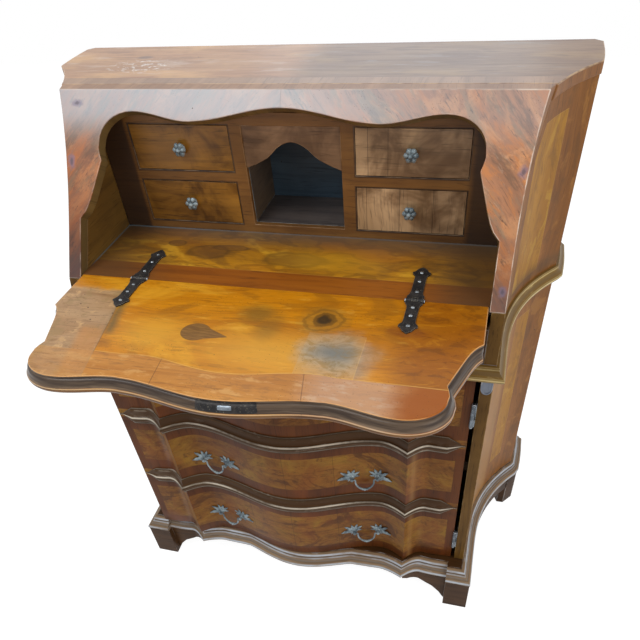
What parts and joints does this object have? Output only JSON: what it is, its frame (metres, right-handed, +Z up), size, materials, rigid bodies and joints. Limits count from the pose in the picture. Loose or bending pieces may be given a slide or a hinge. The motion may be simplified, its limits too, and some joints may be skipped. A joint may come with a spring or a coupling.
{
  "type": "drop-front desk",
  "caption": "Walnut drop-front desk with a scalloped slanted front, open fall on strap hinges, fitted gallery and a serpentine door shaped as three drawers.",
  "frame": {"origin": "on the floor, at the centre of the desk's outline with the fall open", "axes": "+Z up, -Y towards the sitter, +X to the right as seen by the sitter"},
  "size_m": [0.9548, 0.667, 1],
  "materials": {
    "walnut_veneer": "polished, crossbanded",
    "figured_veneer": "polished burr walnut veneer with a pale stringing",
    "desk_interior_walnut": "satin, worn",
    "plain_carcass_wood": "plain, waxed",
    "dark_moulded_walnut": "polished mouldings",
    "black_iron": "black, forged",
    "grey_pewter": "grey antiqued casting"
  },
  "bodies": {
    "case": {"side_left": "walnut_veneer", "side_right": "walnut_veneer", "top_board": "walnut_veneer", "back_panel": "plain_carcass_wood", "slant_frame": "walnut_veneer", "stiles": "walnut_veneer", "stile_feet": "walnut_veneer", "corner_drops": "dark_moulded_walnut", "waist_rail": "dark_moulded_walnut", "waist_moulding": "dark_moulded_walnut", "fascia": "dark_moulded_walnut", "desk_bed": "desk_interior_walnut", "inner_cheeks": "desk_interior_walnut", "cupboard_floor": "plain_carcass_wood", "cupboard_shelf": "plain_carcass_wood", "shelf_cleats": "plain_carcass_wood", "base_frame": "dark_moulded_walnut", "base_moulding": "dark_moulded_walnut", "foot_front_left": "dark_moulded_walnut", "foot_front_right": "dark_moulded_walnut", "foot_rear_left": "dark_moulded_walnut", "foot_rear_right": "dark_moulded_walnut", "side_aprons": "dark_moulded_walnut", "loper_guides": "plain_carcass_wood", "gallery_face": "desk_interior_walnut", "gallery_floor": "desk_interior_walnut", "gallery_top": "desk_interior_walnut", "gallery_back": "desk_interior_walnut", "gallery_partitions": "desk_interior_walnut", "gallery_valance": "desk_interior_walnut", "bed_straps": "black_iron", "strap_pins": "black_iron", "bed_nails": "grey_pewter", "door_hinge_case": "grey_pewter", "door_hinge_pins": "grey_pewter"},
    "fall": {"fall_board": "figured_veneer", "fall_lock": "black_iron", "fall_straps": "black_iron", "fall_nails": "grey_pewter"},
    "door": {"door_panel": "walnut_veneer", "door_moulding_upper": "dark_moulded_walnut", "door_moulding_lower": "dark_moulded_walnut", "door_rosettes": "grey_pewter", "door_hinge_leaf": "grey_pewter"},
    "loper_l": {"loper_left": "walnut_veneer"},
    "loper_r": {"loper_right": "walnut_veneer"},
    "drawer_tl_body": {"drawer_tl": "desk_interior_walnut", "drawer_tl_knob": "grey_pewter"},
    "drawer_bl_body": {"drawer_bl": "desk_interior_walnut", "drawer_bl_knob": "grey_pewter"},
    "drawer_tr_body": {"drawer_tr": "desk_interior_walnut", "drawer_tr_knob": "grey_pewter"},
    "drawer_br_body": {"drawer_br": "desk_interior_walnut", "drawer_br_knob": "grey_pewter"},
    "bail_top_left_body": {"bail_top_left": "grey_pewter"},
    "bail_top_right_body": {"bail_top_right": "grey_pewter"},
    "bail_mid_left_body": {"bail_mid_left": "grey_pewter"},
    "bail_mid_right_body": {"bail_mid_right": "grey_pewter"},
    "bail_low_left_body": {"bail_low_left": "grey_pewter"},
    "bail_low_right_body": {"bail_low_right": "grey_pewter"}
  },
  "joints": [
    {"name": "fall_hinge", "type": "hinge", "parent": "case", "child": "fall", "pos_m": [0, -0.06251, 0.76], "axis": [1, 0, 0], "range_deg": [-124.66, 0]},
    {"name": "door_hinge", "type": "hinge", "parent": "case", "child": "door", "pos_m": [0.3385, -0.08941, 0.375], "axis": [0, 0, 1], "range_deg": [-3, 90]},
    {"name": "loper_left_slide", "type": "slide", "parent": "case", "child": "loper_l", "axis": [0, -1, 0], "range_m": [-0.14, 0]},
    {"name": "loper_right_slide", "type": "slide", "parent": "case", "child": "loper_r", "axis": [0, -1, 0], "range_m": [-0.14, 0]},
    {"name": "drawer_tl_slide", "type": "slide", "parent": "case", "child": "drawer_tl_body", "axis": [0, -1, 0], "range_m": [0, 0.07]},
    {"name": "drawer_bl_slide", "type": "slide", "parent": "case", "child": "drawer_bl_body", "axis": [0, -1, 0], "range_m": [0, 0.07]},
    {"name": "drawer_tr_slide", "type": "slide", "parent": "case", "child": "drawer_tr_body", "axis": [0, -1, 0], "range_m": [0, 0.07]},
    {"name": "drawer_br_slide", "type": "slide", "parent": "case", "child": "drawer_br_body", "axis": [0, -1, 0], "range_m": [0, 0.07]},
    {"name": "bail_top_left_swing", "type": "hinge", "parent": "door", "child": "bail_top_left_body", "pos_m": [-0.15339, -0.12437, 0.556], "axis": [-0.9927, 0.1202, 0], "range_deg": [0, 80]},
    {"name": "bail_top_right_swing", "type": "hinge", "parent": "door", "child": "bail_top_right_body", "pos_m": [0.15528, -0.1082, 0.556], "axis": [-0.9747, -0.2234, 0], "range_deg": [0, 80]},
    {"name": "bail_mid_left_swing", "type": "hinge", "parent": "door", "child": "bail_mid_left_body", "pos_m": [-0.15339, -0.12437, 0.376], "axis": [-0.9927, 0.1202, 0], "range_deg": [0, 80]},
    {"name": "bail_mid_right_swing", "type": "hinge", "parent": "door", "child": "bail_mid_right_body", "pos_m": [0.15528, -0.1082, 0.376], "axis": [-0.9747, -0.2234, 0], "range_deg": [0, 80]},
    {"name": "bail_low_left_swing", "type": "hinge", "parent": "door", "child": "bail_low_left_body", "pos_m": [-0.15339, -0.12437, 0.1962], "axis": [-0.9927, 0.1202, 0], "range_deg": [0, 80]},
    {"name": "bail_low_right_swing", "type": "hinge", "parent": "door", "child": "bail_low_right_body", "pos_m": [0.15528, -0.1082, 0.1962], "axis": [-0.9747, -0.2234, 0], "range_deg": [0, 80]}
  ]
}
